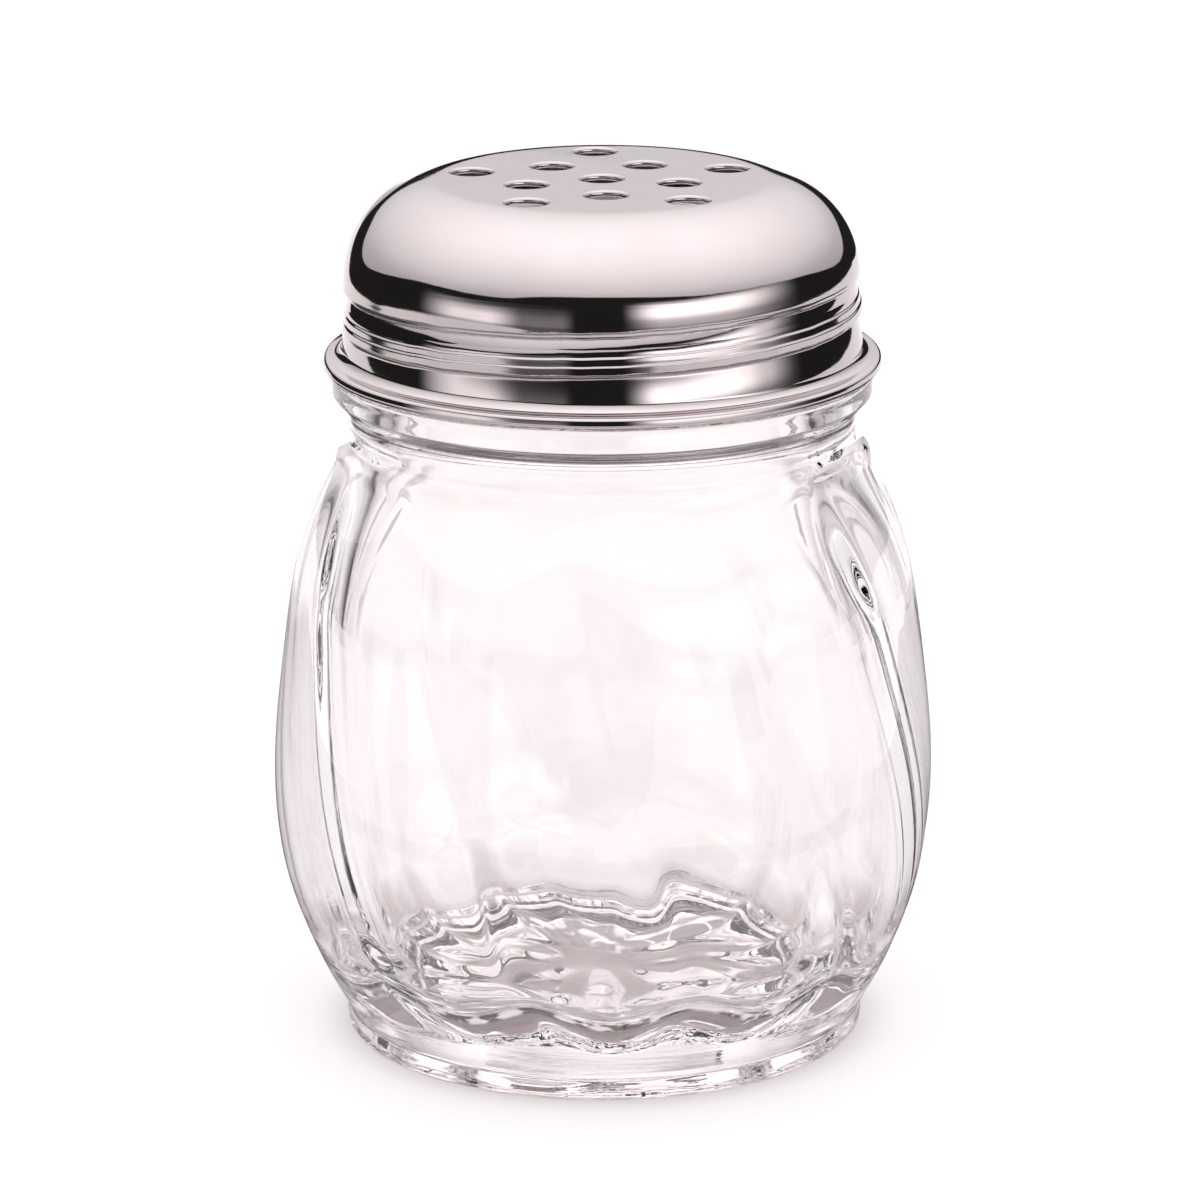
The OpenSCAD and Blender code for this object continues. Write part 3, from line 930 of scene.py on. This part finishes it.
def set_veil():
    """Pale shade on the table round the jar and beside the picture; only the glass sees it."""
    points, faces = [], []
    front, depth, width, steps = -0.1, 1.1, 0.9, 12
    for side in (-1, 1):
        faces += strip_faces(steps, len(points))
        for k in range(steps + 1):
            y = front + depth * k / steps
            edge = picture_slope * (y + camera_y)
            points += [(side * edge, y, 0.001), (side * (edge + width), y, 0.001)]
    steps = 96
    faces += band_faces(steps, len(points))
    points += round_points((0.0315, 0.11), steps, 0.0005)
    material, tree, shader, place = finish("grey_veil")
    x, y, z = apart(tree, place)
    radius = off_axis(x, y)
    patch = noise(tree, place, 7.0, 2.0).ease(0.35, 0.65)
    aside = abs(x) - (y + camera_y) * picture_slope
    beside_jar = (abs(x) / radius).ease(0.4, 0.85)
    round_jar = (1.0 - radius.ease(0.033, 0.075)) * beside_jar
    beside_picture = aside.ease(0.0, 0.13) * y.ease(-0.1, 0.3) * (0.22 + patch * 0.34)
    clear = (1.0 - round_jar * 0.42) * (1.0 - beside_picture)
    shining(tree, shader, (0.14, 0.03, 0.04, 1.0), clear=clear)
    studio_piece("veil", points, faces, material, glass_alone)


def set_curtains():
    """Two grey curtains behind the jar, to its left and right; only the glass sees them."""
    points, faces = [], []
    reach, steps, low, high = 1.5, 24, 0.003, 1.1
    for side in (-1, 1):
        faces += strip_faces(steps, len(points))
        for k in range(steps + 1):
            a = math.radians(96 + 66 * k / steps)
            x, y = side * reach * math.sin(a), -reach * math.cos(a)
            points += [(x, y, low), (x, y, high)]
    material, tree, shader, place = finish("grey_curtain")
    folds = noise(tree, stretched(tree, place, (1.0, 1.0, 0.25)), 5.0, 2.0)
    grey = blend(tree, folds.ease(0.38, 0.62), (0.04, 0.03, 0.03), (0.6, 0.54, 0.54))
    x, y, z = apart(tree, place)
    turn = abs(x).math("ARCTAN2", -y) * (180 / math.pi)
    ends = turn.ease(132, 162).math("MAXIMUM", 1.0 - turn.ease(96, 112))
    shining(tree, shader, blend(tree, ends, grey, (1.25, 1.2, 1.2)))
    studio_piece("curtains", points, faces, material, glass_alone)


def set_floor():
    """The pale table. Its glow holds painted light and shade under the jar, for what the glass gathers
    there, painted light round the foot that thins its shadow, and painted shade in front of the jar,
    seen in reflections.
    """
    steps, reach = 96, 6.0
    material, tree, shader, place = finish("pale_table")
    x, y, z = apart(tree, place)
    radius = off_axis(x, y)
    # Painted caustic light under the jar: bright streaks, and patches at the back, over painted shade
    under = radius.ease(0.006, 0.012) * (1.0 - radius.ease(0.025, 0.029))
    some = noise(tree, place, 60.0, 1.0).ease(0.46, 0.56)
    streak = 1.0 - abs(noise(tree, place, 70.0, 1.0) - 0.52).ease(0.003, 0.022)
    rear = radius.ease(0.014, 0.017) * (1.0 - radius.ease(0.022, 0.024)) * y.ease(0.0, 0.01)
    patch = noise(tree, place, 110.0, 1.0).ease(0.45, 0.52) * rear
    lit = (streak * some).math("MAXIMUM", patch) * under
    shade = blend(tree, lit, (0.25, 0.2, 0.203), (1.5, 1.45, 1.45))
    # Painted light round the foot: the glow is brighter near the jar, to thin its shadow
    near = 1.0 - radius.ease(0.036, 0.085)
    glow = blend(tree, near, (0.52, 0.5, 0.5), (0.6, 0.575, 0.575))
    glow = blend(tree, radius.ease(0.024, 0.036), shade, glow)
    # Painted contact shadow under the bearing ring, flecked with painted glints
    bearing = radius.ease(0.0255, 0.0268) * (1.0 - radius.ease(0.0298, 0.0304))
    sparkle = noise(tree, place, 240.0, 2.0).ease(0.44, 0.6)
    glow = blend(tree, bearing, glow, blend(tree, sparkle, (0.03, 0.022, 0.023), (0.85, 0.8, 0.8)))
    # Painted shade on the table in front of the jar, which the lid and the glass reflect
    front = (y * -1.0).ease(0.06, 0.22)
    glow = blend(tree, front, glow, (0.40, 0.385, 0.385))
    grain = noise(tree, place, 40.0, 3.0)
    colour = blend(tree, grain, (0.40, 0.395, 0.395), (0.41, 0.405, 0.405))
    plug(tree, colour, shader.inputs["Base Color"])
    plug(tree, glow, shader.inputs["Emission Color"])
    shader.inputs["Roughness"].default_value = 0.6
    shader.inputs["Emission Strength"].default_value = 1.0
    shader.inputs["Specular IOR Level"].default_value = 0.2
    studio_piece("floor", round_points((reach,), steps, 0.0), [tuple(range(steps))], material, [])


# The shaker

def make_jar(threads):
    glass = pressed_glass()
    rows = glass_outline()
    marks = {"lobe": [row[2] * MM for row in rows], "thread": [row[3] for row in rows],
             "rib": [row[4] for row in rows], "ridge": [row[5] * floor_ridge * MM for row in rows],
             "bottom": [row[6] for row in rows]}
    jar = turned("jar_glass", [row[:2] for row in rows], glass_steps, marks)
    shape_up(jar, swirl_shape(), {
        "Lobes": lobes, "Swirl": math.radians(swirl), "Start": math.radians(lobe_start),
        "Low": foot_h * MM, "High": body_top * MM, "Softness": valley_soft,
        "Wave": glass_wave * MM}, glass)
    height, reach, bend = thread_h * MM, thread_reach * MM, 0.6
    shape_up(jar, threads, {
        "Pitch": pitch * MM, "Low": (collar_top + thread_up) * MM, "Start": math.radians(thread_start),
        "Turns": 1.0, "Way": 1.0, "Soft": 0.3 * MM, "Wander": 0.0, "Fade": 0.14, "Shallow": 0.0,
        "Height": height, "Above": reach, "Above bend": bend, "Below": reach, "Below bend": bend,
        "Late Height": height, "Late Below": reach, "Late Below bend": bend,
        "Step": 0.0, "Lean": 0.0}, glass)
    shape_up(jar, rib_shape(), {"Ribs": bearing_ribs, "Height": rib_h * MM}, glass)
    standing_for(jar, "jar", "jar")


def make_lid(threads):
    metal = plated_metal()
    rows = lid_outline()
    shell = turned("lid_shell", [row[:2] for row in rows], lid_steps,
                   {"thread": [row[2] for row in rows]})
    shape_up(shell, threads, {
        "Pitch": pitch * MM, "Low": groove_low * MM, "Start": math.radians(groove_start),
        "Turns": groove_turns, "Way": -1.0, "Soft": 0.06 * MM, "Wander": 0.3 * MM, "Fade": 0.38,
        "Shallow": 0.5, "Height": groove_depth * MM, "Above": 0.55 * MM, "Above bend": 0.5,
        "Below": 3.4 * MM, "Below bend": 1.3, "Late Height": 0.6 * MM, "Late Below": 1.9 * MM,
        "Late Below bend": 1.5, "Step": 0.11 * MM, "Lean": 0.09}, metal)
    crown = turned("lid_crown", hole_outline(), hole_steps)
    shape_up(crown, perforated_shape(), {
        "Inner": inner_ring_r * MM, "Outer": outer_ring_r * MM,
        "Turn": math.radians(hole_turn - 90), "Crown": crown_seam_r * MM,
        "Reach": hole_seam_r * MM, "Under": hole_under_r * MM,
        "Top": top_z * MM, "Sheet": sheet_t * MM}, metal)
    standing_for(merged("lid_sheet", [shell, crown]), "lid", "lid")


def make_liner():
    ring = turned("liner_ring", liner_outline(), liner_steps, closed=True)
    ring.data.materials.append(liner_stuff())
    standing_for(ring, "sealing_ring", "sealing_ring")


set_camera()
set_sky()
set_surround()
set_veil()
set_ring()
set_edge_shade()
set_curtains()
set_floor()

threads = helix_shape()
make_jar(threads)
make_lid(threads)
make_liner()

# Light that is reflected inside thick glass needs more bounces than Blender's usual 12
scene = bpy.context.scene
scene.view_settings.view_transform = "Standard"
scene.cycles.max_bounces = 18
scene.cycles.glossy_bounces = 18
scene.cycles.transmission_bounces = 18
